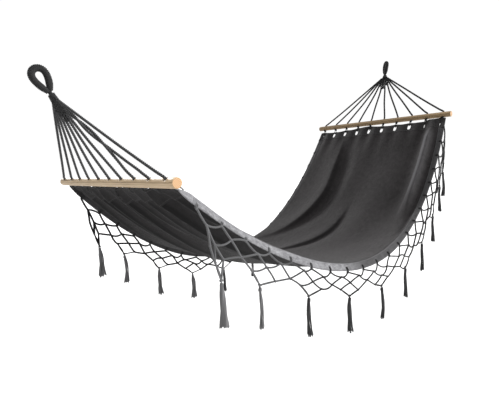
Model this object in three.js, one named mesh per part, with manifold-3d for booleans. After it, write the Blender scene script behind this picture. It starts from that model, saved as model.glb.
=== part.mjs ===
// Garden hammock with two spreader bars, as it hangs with its foot end hooked a little higher.
// Millimetres, +Z up. Built about the head bar's centre line, then moved so the origin is where
// the head eye rests on its hook. +X runs from the head end to the foot end, left is +Y.
import * as THREE from "three";
import { mergeVertices } from "three/addons/utils/BufferGeometryUtils.js";
import Module from "manifold-3d";

// ---- driving dimensions ----
const BAR_LENGTH = 850;        // spreader bar, end to end
const BAR_R = 14.5;            // round bar radius
const BAR_SIDES = 16;
const BAR_SPAN = 1682;         // head bar to foot bar, measured along X
const FOOT_RISE = 242;         // how much higher the foot bar hangs
const CORDS = 10;              // suspension cords at each end
const CORD_EDGE = 40;          // outermost drilled hole to the bar's end
const CORD_R = 4.3;
const DRILL_R = 6.2;           // drilled cord holes
const FAN = 302;               // bar centre to the neck under the eye
const HEAD_FAN_DEG = 61.9;     // slope of the cord fan at the head end
const FOOT_FAN_DEG = 70.5;
const EYE_R = 10;              // served rope of the hanging eye
const FOOT_EYE_TURN = 48;      // the foot eye hangs turned round its own axis
const FOOT_EYE_DEG = 79;       // and a little more upright than its cords
const EYE_TIP = 80;            // neck to the rope centre at the eye's tip
const EYE_HALF = 20.5;         // widest half width of the rope's centre line
const NECK_BALL = 10;          // rounded root of the eye, on the swing line
const GAP = 0.35;              // clearance between neighbouring pieces
const WEAVE_TOP = 30, WEAVE_TIP = 84, WEAVE_HALF = 28, WEAVE_T = 12;
const CANVAS_END_HALF = 400, CANVAS_MID_HALF = 460;  // half width at the bars and mid length
const CANVAS_DIP = [-4, -333, -503, -497, -329, FOOT_RISE - 4]; // control heights, head to foot
const CANVAS_SAG = 7;          // cross sag at mid length
const SIDE_LEAN = 42;          // left edge hangs lower than the right at mid length
const CANVAS_T = 1.6, HEM_T = 3.2;
const EDGE_GAP = 27;           // bar centre to the cloth's end edge
const END_HEM = 58, SIDE_HEM = 30;
const HOLE_FROM_EDGE = 30, HOLE_W = 15, HOLE_H = 28;  // buttonholes in the end hems
const TASSELS = 10;            // each side
const NET_STRAND = 55;         // net cord between two knots
const NET_R = 2.3, KNOT_R = 5;
const NET_BELLY = 16, NET_TUCK = 0.05;  // how far the fringe stands out at mid length, and falls back in as it hangs
const NET_ENDS = { left: [60, 55, 0], right: [67, 58, 32] };  // first and last cord from the cloth's ends, and how uneven they are
const TASSEL_LENGTH = 130;

const wasm = await Module();
wasm.setup();
const V = (x, y, z) => new THREE.Vector3(x, y, z);
const DEG = Math.PI / 180;

// ---- solids ----
function solid(geometry) {
  const g = geometry.index ? geometry.toNonIndexed() : geometry.clone();
  g.deleteAttribute("normal");
  g.deleteAttribute("uv");
  const m = mergeVertices(g, 1e-3);
  return new wasm.Manifold(new wasm.Mesh({
    numProp: 3,
    vertProperties: m.attributes.position.array,
    triVerts: new Uint32Array(m.index.array),
  }));
}
function fromFaces(points, faces) {
  const g = new THREE.BufferGeometry();
  g.setAttribute("position", new THREE.BufferAttribute(
    new Float32Array(points.flatMap((p) => [p.x, p.y, p.z])), 3));
  g.setIndex(faces.flat());
  return solid(g);
}
// Rings of points, each going round the same way, skinned and capped.
function loft(rings, closed = false) {
  const n = rings[0].length;
  const pts = rings.flat();
  const faces = [];
  const last = closed ? rings.length : rings.length - 1;
  for (let i = 0; i < last; i++) {
    const a = i * n, b = ((i + 1) % rings.length) * n;
    for (let k = 0; k < n; k++) {
      const l = (k + 1) % n;
      faces.push([a + k, a + l, b + l], [a + k, b + l, b + k]);
    }
  }
  if (!closed) {
    const e = (rings.length - 1) * n;
    for (let k = 1; k < n - 1; k++) faces.push([0, k + 1, k], [e, e + k, e + k + 1]);
  }
  return fromFaces(pts, faces);
}
// A round (or flattened) cord along points; side keeps one facet facing that way.
function cord(points, radius, sides, side = V(0, 1, 0), closed = false) {
  const rings = points.map((p, i) => {
    const a = points[closed ? (i + points.length - 1) % points.length : Math.max(0, i - 1)];
    const b = points[closed ? (i + 1) % points.length : Math.min(points.length - 1, i + 1)];
    const t = b.clone().sub(a).normalize();
    const u = side.clone().addScaledVector(t, -side.dot(t)).normalize();
    const w = t.clone().cross(u);
    const r = typeof radius === "function" ? radius(i) : radius;
    return Array.from({ length: sides }, (_, k) => {
      const f = ((k + 0.5) / sides) * 2 * Math.PI;
      return p.clone().addScaledVector(u, Math.cos(f) * r).addScaledVector(w, Math.sin(f) * r);
    });
  });
  return loft(rings, closed);
}
const join = (list) => list.reduce((a, b) => a.add(b));
function toMesh(s, name, color, shift) {
  const m = s.getMesh(), n = m.numProp;
  const v = new Float32Array(m.numVert * 3);
  for (let i = 0; i < m.numVert; i++) v.set(m.vertProperties.subarray(i * n, i * n + 3), i * 3);
  const g = new THREE.BufferGeometry();
  g.setAttribute("position", new THREE.BufferAttribute(v, 3));
  g.setIndex(new THREE.BufferAttribute(new Uint32Array(m.triVerts), 1));
  g.translate(shift.x, shift.y, shift.z);
  g.computeVertexNormals();
  const mesh = new THREE.Mesh(g, new THREE.MeshStandardMaterial({ color, roughness: 0.9 }));
  mesh.name = name;
  return mesh;
}

// ---- where things hang ----
const A = BAR_SPAN / 2;
const ENDS = {
  head: { bar: V(-A, 0, 0), out: V(-Math.cos(HEAD_FAN_DEG * DEG), 0, Math.sin(HEAD_FAN_DEG * DEG)), eyeTurn: 0, eyeDeg: HEAD_FAN_DEG },
  foot: { bar: V(A, 0, FOOT_RISE), out: V(Math.cos(FOOT_FAN_DEG * DEG), 0, Math.sin(FOOT_FAN_DEG * DEG)), eyeTurn: FOOT_EYE_TURN, eyeDeg: FOOT_EYE_DEG },
};
for (const e of Object.values(ENDS)) {
  e.neck = e.bar.clone().addScaledVector(e.out, FAN);
  e.across = V(-e.out.z, 0, e.out.x);
  e.eyeOut = V(Math.sign(e.out.x) * Math.cos(e.eyeDeg * DEG), 0, Math.sin(e.eyeDeg * DEG));
  e.eyeAcross = V(-e.eyeOut.z, 0, e.eyeOut.x).applyAxisAngle(e.eyeOut, e.eyeTurn * DEG);
}
const hole_y = (i) => BAR_LENGTH / 2 - CORD_EDGE - (i * (BAR_LENGTH - 2 * CORD_EDGE)) / (CORDS - 1);
const ORIGIN = ENDS.head.neck.clone().addScaledVector(ENDS.head.out, EYE_TIP - EYE_R);

// ---- the cloth's hanging shape ----
const dip = (u) => {
  const n = CANVAS_DIP.length - 1;
  let z = 0, c = 1;
  for (let k = 0; k <= n; k++) {
    z += c * CANVAS_DIP[k] * u ** k * (1 - u) ** (n - k);
    c = (c * (n - k)) / (k + 1);
  }
  return z;
};
const clothPoint = (u, y01) => {
  const bow = 4 * u * (1 - u);
  const half = CANVAS_END_HALF + (CANVAS_MID_HALF - CANVAS_END_HALF) * bow;
  return V(-A + 2 * A * u, half * y01, dip(u) - CANVAS_SAG * bow * (1 - y01 * y01) - SIDE_LEAN * bow * y01);
};
// Arc length along the middle of the cloth, from one end edge to the other.
const STEPS = 1200;
let uStart = 0, uEnd = 1;
while (clothPoint(uStart, 0).distanceTo(ENDS.head.bar) < EDGE_GAP) uStart += 1e-4;
while (clothPoint(uEnd, 0).distanceTo(ENDS.foot.bar) < EDGE_GAP) uEnd -= 1e-4;
const arc = [0];
for (let i = 1; i <= STEPS; i++) {
  const a = clothPoint(uStart + ((uEnd - uStart) * (i - 1)) / STEPS, 0);
  const b = clothPoint(uStart + ((uEnd - uStart) * i) / STEPS, 0);
  arc.push(arc[i - 1] + a.distanceTo(b));
}
const CLOTH = arc[STEPS];
function uAt(s) {
  let i = 1;
  while (i < STEPS && arc[i] < s) i++;
  const f = (s - arc[i - 1]) / (arc[i] - arc[i - 1]);
  return uStart + ((uEnd - uStart) * (i - 1 + f)) / STEPS;
}
const at = (s, y01) => clothPoint(uAt(s), y01);
function frame(s, y01) {
  const p = at(s, y01), u = uAt(s);
  const ts = clothPoint(u + 1e-4, y01).sub(clothPoint(u - 1e-4, y01)).normalize();
  const ty = clothPoint(u, y01 + 1e-3).sub(clothPoint(u, y01 - 1e-3)).normalize();
  return { p, ts, ty, up: ts.clone().cross(ty).normalize() };
}
const halfAt = (s) => {
  const u = uAt(s);
  return CANVAS_END_HALF + (CANVAS_MID_HALF - CANVAS_END_HALF) * 4 * u * (1 - u);
};
// A patch of cloth between two lengths and two side lines (millimetres in from each edge).
function patch(s0, s1, rows, across, columns, thick) {
  const pts = [[], []];
  for (let i = 0; i <= rows; i++) {
    const s = s0 + ((s1 - s0) * i) / rows;
    const [y0, y1] = across(halfAt(s));
    for (let j = 0; j <= columns; j++) {
      const f = frame(s, (y0 + ((y1 - y0) * j) / columns) / halfAt(s));
      pts[0].push(f.p.clone().addScaledVector(f.up, thick / 2));
      pts[1].push(f.p.clone().addScaledVector(f.up, -thick / 2));
    }
  }
  const n = columns + 1, low = pts[0].length, faces = [];
  const id = (i, j) => i * n + j;
  for (let i = 0; i < rows; i++) for (let j = 0; j < columns; j++) {
    const [a, b, c, d] = [id(i, j), id(i + 1, j), id(i + 1, j + 1), id(i, j + 1)];
    faces.push([a, b, c], [a, c, d], [low + a, low + c, low + b], [low + a, low + d, low + c]);
  }
  const rim = (a, b) => faces.push([a, low + b, b], [a, low + a, low + b]);
  for (let i = 0; i < rows; i++) { rim(id(i, 0), id(i + 1, 0)); rim(id(i + 1, columns), id(i, columns)); }
  for (let j = 0; j < columns; j++) { rim(id(0, j + 1), id(0, j)); rim(id(rows, j), id(rows, j + 1)); }
  return fromFaces([...pts[0], ...pts[1]], faces);
}

const group = new THREE.Group();
group.name = "hammock";
const SHIFT = ORIGIN.clone().negate();
const GREY = 0x4a4a4a, DARK = 0x3c3c3c, WOOD = 0xc9ac7e;
const add = (s, name, color) => group.add(toMesh(s, name, color, SHIFT));

// ---- canvas, hems ----
const IN = SIDE_HEM + GAP;
add(patch(END_HEM + GAP, CLOTH - END_HEM - GAP, 30, (h) => [-h + IN, h - IN], 6, CANVAS_T), "canvas_bed", GREY);
add(patch(END_HEM + GAP, CLOTH - END_HEM - GAP, 30, (h) => [h - SIDE_HEM, h], 1, HEM_T), "left_side_hem", GREY);
add(patch(END_HEM + GAP, CLOTH - END_HEM - GAP, 30, (h) => [-h, -h + SIDE_HEM], 1, HEM_T), "right_side_hem", GREY);
const onCloth = (end, i, d) => {
  const s = end === "head" ? d : CLOTH - d;
  return frame(s, (hole_y(i) * (CANVAS_END_HALF - 22)) / (BAR_LENGTH / 2 - CORD_EDGE) / halfAt(s));
};
for (const end of ["head", "foot"]) {
  let hem = end === "head"
    ? patch(0, END_HEM, 3, (h) => [-h, h], 4, HEM_T)
    : patch(CLOTH - END_HEM, CLOTH, 3, (h) => [-h, h], 4, HEM_T);
  for (let i = 0; i < CORDS; i++) {
    const f = onCloth(end, i, HOLE_FROM_EDGE);
    const box = new THREE.BoxGeometry(HOLE_H, HOLE_W, 30);
    box.applyMatrix4(new THREE.Matrix4().makeBasis(f.ts, f.ty, f.up).setPosition(f.p));
    hem = hem.subtract(solid(box));
  }
  add(hem, end + "_end_hem", GREY);
}

// ---- spreader bars, eyes, clews and suspension cords ----
for (const [end, e] of Object.entries(ENDS)) {
  const cloth = frame(end === "head" ? 2 : CLOTH - 2, 0);
  const toCloth = cloth.ts.clone().multiplyScalar(end === "head" ? 1 : -1);
  const bore = e.out.clone().sub(toCloth).normalize();     // the drilled holes' direction
  const barPoints = [-1, -1 + 6 / BAR_LENGTH, 1 - 6 / BAR_LENGTH, 1].map((f) =>
    e.bar.clone().add(V(0, (f * BAR_LENGTH) / 2, 0)));
  let bar = cord(barPoints, (i) => (i === 0 || i === 3 ? BAR_R - 1.5 : BAR_R), BAR_SIDES, bore);
  for (let i = 0; i < CORDS; i++) {
    const c = e.bar.clone().add(V(0, hole_y(i), 0));
    const drill = [c.clone().addScaledVector(bore, -20), c.clone().addScaledVector(bore, 20)];
    bar = bar.subtract(cord(drill, DRILL_R, 8));
  }
  add(bar, end + "_spreader_bar", WOOD);

  // eye: two legs that leave a rounded root, part, and meet at the tip
  const eyePath = (sign, n = 9) => Array.from({ length: n + 1 }, (_, i) => {
    const t = i / n;
    const along = t < 0.6
      ? 6 + (t / 0.6) * (EYE_TIP - EYE_HALF - 6)
      : EYE_TIP - EYE_HALF + EYE_HALF * Math.sin(((t - 0.6) / 0.4) * 93 * DEG);
    const side = t < 0.6
      ? 5 + (EYE_HALF - 5) * Math.sin(((t / 0.6) * Math.PI) / 2) ** 1.15
      : EYE_HALF * Math.cos(((t - 0.6) / 0.4) * 93 * DEG);
    return e.neck.clone().addScaledVector(e.eyeOut, along).addScaledVector(e.eyeAcross, sign * side);
  });
  const ball = new THREE.SphereGeometry(NECK_BALL, 10, 7);
  ball.applyMatrix4(new THREE.Matrix4().makeBasis(e.eyeAcross, e.eyeOut, e.eyeAcross.clone().cross(e.eyeOut)));
  ball.translate(e.neck.x, e.neck.y, e.neck.z);
  const leg = (sign) => cord(eyePath(sign), (i) => (i === 0 ? NECK_BALL * 0.8 : EYE_R), 8);
  add(join([leg(1), leg(-1), solid(ball)]), end + "_eye", DARK);

  // whipping below the eye's root, cupped so the bed can swing on it
  const down = (d, y = 0, q = 0) => e.neck.clone()
    .addScaledVector(e.out, -d).addScaledVector(e.across, q).add(V(0, y, 0));
  const ring = (d, ry, rq, n = 12) => Array.from({ length: n }, (_, k) => {
    const f = ((k + 0.5) / n) * 2 * Math.PI;
    return down(d, Math.cos(f) * ry, -Math.sin(f) * rq);
  });
  const cup = new THREE.SphereGeometry(NECK_BALL + GAP + 0.15, 16, 12);
  cup.translate(e.neck.x, e.neck.y, e.neck.z);
  let whip = loft([ring(6.6, 7.5, 7.5), ring(9, 10.5, 10.5), ring(24, 12, 10)]);
  whip = whip.subtract(solid(cup));
  add(whip, end + "_neck_whipping", DARK);

  // woven clew: a flat plait that tapers to its tip between the cords
  const weave = (g) => loft([
    ring(24 + GAP - g, 13 + g, 9 + g), ring(WEAVE_TOP + 2, WEAVE_HALF * 0.8 + g, WEAVE_T / 2 + g),
    ring(WEAVE_TOP + 9, WEAVE_HALF * 0.82 + g, WEAVE_T / 2 + g),
    ring(WEAVE_TIP, 3.5 + g, WEAVE_T / 2 - 1 + g), ring(WEAVE_TIP + 3 + g, 2 + g, 3 + g)]);
  add(weave(0), end + "_clew_weave", GREY);
  const keepOut = weave(GAP).add(loft([ring(6, 13, 11), ring(24 + GAP, 13, 11)]));

  // cords: clew, bar hole, and a closed loop through the buttonhole
  for (let i = 0; i < CORDS; i++) {
    const y = hole_y(i), rank = (Math.abs(y) - 42.8) / 342.2;
    const exit = down(88 - 58 * rank, Math.sign(y) * (5.2 + 24.8 * rank));
    const c = e.bar.clone().add(V(0, y, 0));
    const mouth = c.clone().addScaledVector(bore, BAR_R + 3);
    const under = c.clone().addScaledVector(bore, -BAR_R - 1);
    const pull = mouth.clone().sub(exit).normalize();
    exit.addScaledVector(pull, -7);
    const near = onCloth(end, i, -5), far = onCloth(end, i, HOLE_FROM_EDGE - HOLE_H / 2 + 4);
    const top = near.p.clone();
    const run = far.p.clone().sub(top);
    const loopPts = Array.from({ length: 8 }, (_, k) => {
      const f = ((k + 0.5) / 8) * 2 * Math.PI;
      const d = 0.5 - 0.5 * Math.cos(f);
      return top.clone().addScaledVector(run, d).addScaledVector(near.up, Math.sin(f) * 6.2);
    });
    const line = cord([exit, mouth, under, top], CORD_R, 5, V(0, 1, 0));
    const link = cord(loopPts, 2, 4, near.ty, true);
    const piece = line.add(link).subtract(keepOut);
    add(piece, end + "_cord_" + String(i + 1).padStart(2, "0"), DARK);
  }
}

// ---- fringe: a knotted net that hangs from each side hem, with a tassel under every other column ----
const COLUMNS = 2 * TASSELS;
function hangNet(sign) {
  const [first, last, uneven] = NET_ENDS[sign > 0 ? "left" : "right"];
  const top = Array.from({ length: COLUMNS + 1 }, (_, k) => at(
    first + (CLOTH - first - last) * k / COLUMNS + uneven * Math.sin(Math.PI * k / COLUMNS) ** 2, sign));
  const rows = [top.map((p) => ({ x: p.x, z: p.z - 3, w: 0 }))];
  for (let r = 1; r <= 3; r++) {
    const odd = r % 2 === 1;
    const count = odd ? COLUMNS : COLUMNS + 1;
    rows.push(Array.from({ length: count }, (_, k) => {
      const q = odd ? (top[k].x + top[k + 1].x) / 2 : top[k].x;
      const z = odd ? (top[k].z + top[k + 1].z) / 2 : top[k].z;
      return { x: q, z: z - 32 * r, w: 1 };
    }));
  }
  rows.push(Array.from({ length: TASSELS }, (_, k) =>
    ({ x: top[2 * k + 1].x, z: top[2 * k + 1].z - 120, w: 0.15 })));
  const links = [];
  for (let k = 0; k < COLUMNS; k++) {
    links.push([rows[0][k], rows[1][k]], [rows[0][k + 1], rows[1][k]]);
    links.push([rows[1][k], rows[2][k]], [rows[1][k], rows[2][k + 1]]);
    links.push([rows[2][k], rows[3][k]], [rows[2][k + 1], rows[3][k]]);
  }
  for (let k = 0; k < TASSELS; k++)
    links.push([rows[3][2 * k], rows[4][k]], [rows[3][2 * k + 1], rows[4][k]]);
  // let it drop until every cord is taut
  for (let step = 0; step < 900; step++) {
    if (step % 3 === 0) for (const row of rows) for (const n of row) if (n.w) n.z -= 0.75;
    for (const [a, b] of links) {
      const dx = b.x - a.x, dz = b.z - a.z, d = Math.hypot(dx, dz);
      if (d <= NET_STRAND || a.w + b.w === 0) continue;
      const f = (d - NET_STRAND) / d / (a.w + b.w);
      a.x += dx * f * a.w; a.z += dz * f * a.w;
      b.x -= dx * f * b.w; b.z -= dz * f * b.w;
    }
  }
  return { rows, links };
}
// Outlines in the hanging plane: a strand between two points, and a knot.
const strip = (a, b) => {
  const d = Math.hypot(b.x - a.x, b.z - a.z), nx = (-(b.z - a.z) / d) * NET_R, nz = ((b.x - a.x) / d) * NET_R;
  return [[a.x - nx, a.z - nz], [b.x - nx, b.z - nz], [b.x + nx, b.z + nz], [a.x + nx, a.z + nz]];
};
const knot = (p, w, h) => [[p.x - w, p.z], [p.x, p.z - h], [p.x + w, p.z], [p.x, p.z + h]];
for (const [side, sign] of [["left", 1], ["right", -1]]) {
  const { rows, links } = hangNet(sign);
  const standOut = (x, z) => {
    const u = (x + A) / (2 * A), edge = clothPoint(u, sign);
    const drop = Math.max(0, edge.z - z), belly = NET_BELLY * Math.sin(Math.PI * Math.min(1, Math.max(0, u)));
    return Math.abs(edge.y) + NET_R + GAP + belly * Math.min(1, drop / 40) - NET_TUCK * Math.max(0, drop - 40);
  };
  const outline = wasm.CrossSection.union([
    ...links.map(([a, b]) => wasm.CrossSection.ofPolygons([strip(a, b)])),
    ...rows.flatMap((row, r) => row.map((n) => wasm.CrossSection.ofPolygons(
      [r === 0 ? knot(n, 5, 7) : r === 4 ? knot(n, 8, 8) : knot(n, KNOT_R, KNOT_R)]))),
  ]).simplify(0.3);
  const net = outline.extrude(2 * NET_R).warp((p) => {
    const [x, z, t] = p;
    p[1] = sign * (standOut(x, z) - NET_R + (sign > 0 ? 2 * NET_R - t : t));
    p[2] = z;
  });
  add(net, "fringe_net_" + side, DARK);
  rows[4].forEach((n, k) => {
    const T = TASSEL_LENGTH;
    const profile = [[0, 0], [7, 1], [8.5, 8], [5.5, 18], [8, 34], [15, T * 0.97], [12, T], [0, T]];
    const lathe = new THREE.LatheGeometry(profile.reverse().map(([r, d]) => new THREE.Vector2(r, -d)), 6);
    lathe.rotateX(Math.PI / 2);
    lathe.translate(n.x, sign * standOut(n.x, n.z), n.z - 8 - GAP);
    add(solid(lathe), "tassel_" + side + "_" + String(k + 1).padStart(2, "0"), DARK);
  });
}

export default group;
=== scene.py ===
"""Spreader-bar hammock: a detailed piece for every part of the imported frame.

Lengths are millimetres in the part's own axes, and metres() moves them into the frame.
Sides: left is +Y and right is -Y; the head end is at low x and the foot end at high x.
"""
import math
import random
from types import SimpleNamespace

import bpy
import numpy as np
from mathutils import Matrix, Vector


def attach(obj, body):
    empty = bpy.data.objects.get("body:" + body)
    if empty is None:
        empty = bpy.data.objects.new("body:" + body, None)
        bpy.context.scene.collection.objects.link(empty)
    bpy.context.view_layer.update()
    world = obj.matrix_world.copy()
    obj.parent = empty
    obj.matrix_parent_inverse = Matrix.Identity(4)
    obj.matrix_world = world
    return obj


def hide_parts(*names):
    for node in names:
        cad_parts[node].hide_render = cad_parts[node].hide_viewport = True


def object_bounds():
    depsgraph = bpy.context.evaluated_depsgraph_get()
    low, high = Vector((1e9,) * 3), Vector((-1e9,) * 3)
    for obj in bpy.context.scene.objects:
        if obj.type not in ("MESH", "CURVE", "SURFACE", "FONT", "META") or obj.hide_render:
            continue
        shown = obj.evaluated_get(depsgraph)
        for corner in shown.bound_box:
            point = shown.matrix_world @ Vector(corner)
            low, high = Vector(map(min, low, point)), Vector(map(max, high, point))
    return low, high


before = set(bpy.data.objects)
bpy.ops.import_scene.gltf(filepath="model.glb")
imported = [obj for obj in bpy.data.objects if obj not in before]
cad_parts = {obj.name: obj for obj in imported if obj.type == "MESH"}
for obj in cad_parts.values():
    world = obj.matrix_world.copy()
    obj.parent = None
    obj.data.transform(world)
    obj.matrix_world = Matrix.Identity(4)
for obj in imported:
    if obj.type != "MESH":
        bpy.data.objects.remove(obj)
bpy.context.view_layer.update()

# ---------------------------------------------------------------- dimensions, as in the part
BAR_LENGTH, BAR_R, BAR_SPAN, FOOT_RISE = 850.0, 14.5, 1682.0, 242.0
CORDS, CORD_EDGE, CORD_D, DRILL_R = 10, 40.0, 8.6, 6.2
FAN, HEAD_FAN, FOOT_FAN = 302.0, math.radians(61.9), math.radians(70.5)
EYE_R, EYE_TIP, EYE_HALF = 10.0, 80.0, 20.5
END_HALF, MID_HALF = 400.0, 460.0
DIP = [-4.0, -333.0, -503.0, -497.0, -329.0, FOOT_RISE - 4]
SAG, LEAN = 7.0, 42.0
CANVAS_T, HEM_T, EDGE_GAP, END_HEM, SIDE_HEM = 1.6, 3.2, 27.0, 58.0, 30.0
HOLE_FROM_EDGE, HOLE_W, HOLE_H = 30.0, 15.0, 28.0
TASSELS, NET_STRAND, NET_R, TASSEL_LENGTH = 10, 55.0, 2.3, 130.0
NET_BELLY, NET_TUCK = 16.0, 0.05
NET_ENDS = {1: (60.0, 55.0, 0.0), -1: (67.0, 58.0, 32.0)}
EYE_TURN = {"head": 0.0, "foot": math.radians(48)}
EYE_SLOPE = {"head": HEAD_FAN, "foot": math.radians(79)}
A = BAR_SPAN / 2
HALF_BAR = BAR_LENGTH / 2
# the hole nearest the middle of a bar, and how much further out the last one is
NEAREST_Y, SPREAD_Y = 42.8, 342.2
# below the neck: where the cords start to fan out, how deep the clew is in the middle, how much less at the sides
FAN_TOP, CLEW_DEEP, CLEW_TAPER = 8, 82, 62
# over the strands, laid cord is drawn this much thicker than a plain round one
CORD_EXTRA = {"head": 0.5, "foot": 2.0}
# how far the cloth's gathered loops stand inside the line of the bar's holes
GATHER = (END_HALF - 22) / (HALF_BAR - CORD_EDGE)
PITCH_Y = (BAR_LENGTH - 2 * CORD_EDGE) / (CORDS - 1) * GATHER


def vec(x, y, z):
    return np.array([x, y, z], float)


def unit(v):
    return v / np.linalg.norm(v)


ENDS = {}
for name, bar, out in (
    ("head", vec(-A, 0, 0), vec(-math.cos(HEAD_FAN), 0, math.sin(HEAD_FAN))),
    ("foot", vec(A, 0, FOOT_RISE), vec(math.cos(FOOT_FAN), 0, math.sin(FOOT_FAN))),
):
    slope, turn = EYE_SLOPE[name], EYE_TURN[name]
    eye_out = vec(math.copysign(math.cos(slope), out[0]), 0, math.sin(slope))
    flat_across = vec(-eye_out[2], 0, eye_out[0])
    ENDS[name] = SimpleNamespace(
        bar=bar, out=out, neck=bar + out * FAN, across=vec(-out[2], 0, out[0]), eye_out=eye_out,
        eye_across=flat_across * math.cos(turn) + np.cross(eye_out, flat_across) * math.sin(turn))
ORIGIN = ENDS["head"].neck + ENDS["head"].out * (EYE_TIP - EYE_R)


def hole_y(i):
    return HALF_BAR - CORD_EDGE - i * (BAR_LENGTH - 2 * CORD_EDGE) / (CORDS - 1)


def metres(p):
    return (np.asarray(p, float) - ORIGIN) / 1000.0


def add_object(name, data):
    o = bpy.data.objects.new(name, data)
    bpy.context.scene.collection.objects.link(o)
    return o


# ---------------------------------------------------------------- camera
CAM_AT = vec(-1353.0, -1251.5, 41.8)
YAW, PITCH, ROLL = 0.83582, -0.09587, -0.04932
LENS, SENSOR_WIDTH = 28.31328, 36.0
forward = vec(math.cos(YAW) * math.cos(PITCH), math.sin(YAW) * math.cos(PITCH), math.sin(PITCH))
level = vec(math.sin(YAW), -math.cos(YAW), 0)
upright = np.cross(level, forward)
right = math.cos(ROLL) * level + math.sin(ROLL) * upright
top_way = -math.sin(ROLL) * level + math.cos(ROLL) * upright

cam_data = bpy.data.cameras.new("camera")
cam_data.sensor_width = SENSOR_WIDTH
cam_data.lens = LENS
cam_data.clip_start = 0.02
cam = add_object("camera", cam_data)
placing = Matrix.Identity(4)
for k in range(3):
    placing[k] = right[k], top_way[k], -forward[k], metres(CAM_AT)[k]
cam.matrix_world = placing
bpy.context.scene.camera = cam


# ---------------------------------------------------------------- mesh tools
class Parts:
    """Gathers vertices, faces and uv in millimetres, and makes one object of them."""

    def __init__(self):
        self.v, self.f, self.uv, self.n = [], [], [], 0

    def add(self, verts, faces, uv=None):
        verts = np.asarray(verts, float).reshape(-1, 3)
        self.v.append(verts)
        self.f += [np.asarray(f, int) + self.n for f in faces]
        self.uv.append(np.zeros((len(verts), 2)) if uv is None else np.asarray(uv, float).reshape(-1, 2))
        self.n += len(verts)

    def mesh(self, name):
        mesh = bpy.data.meshes.new(name)
        faces = [row for f in self.f for row in f.tolist()]
        mesh.from_pydata(metres(np.concatenate(self.v)).tolist(), [], faces)
        return mesh

    def piece(self, name, material, body, replaces=()):
        mesh = self.mesh(name)
        layer = mesh.uv_layers.new(name="UVMap")
        corner = np.empty(len(mesh.loops), dtype=np.int32)
        mesh.loops.foreach_get("vertex_index", corner)
        layer.data.foreach_set("uv", np.concatenate(self.uv)[corner].astype(np.float32).ravel())
        mesh.polygons.foreach_set("use_smooth", np.ones(len(mesh.polygons), dtype=bool))
        mesh.materials.append(material)
        mesh.update()
        o = add_object(name, mesh)
        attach(o, body)
        if replaces:
            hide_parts(*replaces)
        return o


def distances(path):
    """How far along the path each of its points is."""
    return np.concatenate([[0.0], np.cumsum(np.linalg.norm(np.diff(path, axis=0), axis=1))])


def frames(p, closed=False):
    """Tangent and two sideways vectors at each point of a path, turned as little as possible."""
    t = np.roll(p, -1, 0) - np.roll(p, 1, 0) if closed else np.gradient(p, axis=0)
    t /= np.linalg.norm(t, axis=1)[:, None] + 1e-12
    n = np.zeros_like(p)
    a = vec(0, 1, 0) - t[0] * t[0][1]
    if np.linalg.norm(a) < 1e-3:
        a = np.cross(t[0], (1.0, 0.3, 0.1))
    n[0] = unit(a)
    for i in range(1, len(p)):
        b = n[i - 1] - t[i] * (n[i - 1] @ t[i])
        n[i] = b / (np.linalg.norm(b) + 1e-12)
    return t, n, np.cross(t, n)


def ring_angles(sides):
    return np.arange(sides) / sides * 2 * math.pi


def grid_faces(rows, cols, wrap_cols=True, wrap_rows=False):
    i = np.arange(rows if wrap_rows else rows - 1)
    j = np.arange(cols if wrap_cols else cols - 1)
    I, J = np.meshgrid(i, j, indexing="ij")
    I2, J2 = (I + 1) % rows, (J + 1) % cols
    return np.stack([I * cols + J, I * cols + J2, I2 * cols + J2, I2 * cols + J], -1).reshape(-1, 4)


def end_caps(rows, sides):
    """The two faces that close a tube of rings."""
    return [np.arange(sides)[None, ::-1], (rows - 1) * sides + np.arange(sides)[None]]


def add_tube(parts, path, radius, sides=6, closed=False, off=None, fr=None):
    """A round cord along path. off is a sideways offset at each point in that path's own frame."""
    p = np.asarray(path, float)
    _, n, b = fr if fr is not None else frames(p, closed)
    c = p if off is None else p + off[:, :1] * n + off[:, 1:2] * b
    th = ring_angles(sides)
    r = np.broadcast_to(np.asarray(radius, float), (len(p),))[:, None]
    ring = c[:, None, :] + (r * np.cos(th))[..., None] * n[:, None, :] + (r * np.sin(th))[..., None] * b[:, None, :]
    uv = np.stack(np.broadcast_arrays(distances(p)[:, None] / 1000, th[None] / (2 * math.pi) * 0.01), -1)
    parts.add(ring, [grid_faces(len(p), sides, True, closed)] + ([] if closed else end_caps(len(p), sides)), uv)


def add_grid(parts, points, u, v, faces=None):
    """A sheet of four-sided faces through a grid of points. Its uv is in metres."""
    uv = np.stack(np.broadcast_arrays(u, v), -1) / 1000
    parts.add(points, [grid_faces(*points.shape[:2], False) if faces is None else faces], uv)


def resample(path, step=None, count=None):
    p = np.asarray(path, float)
    d = distances(p)
    if count is None:
        count = max(2, int(round(d[-1] / step)) + 1)
    q = np.linspace(0, d[-1], count)
    return np.stack([np.interp(q, d, p[:, k]) for k in range(3)], 1)


def smooth_path(points, n=8):
    """Catmull-Rom through the points."""
    p = np.asarray(points, float)
    q = np.vstack([2 * p[0] - p[1], p, 2 * p[-1] - p[-2]])
    out = []
    for i in range(1, len(q) - 2):
        for k in range(n):
            s = k / n
            a = 2 * q[i]
            b = q[i + 1] - q[i - 1]
            c = 2 * q[i - 1] - 5 * q[i] + 4 * q[i + 1] - q[i + 2]
            d = -q[i - 1] + 3 * q[i] - 3 * q[i + 1] + q[i + 2]
            out.append(0.5 * (a + b * s + c * s * s + d * s**3))
    out.append(p[-1])
    return np.array(out)


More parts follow.
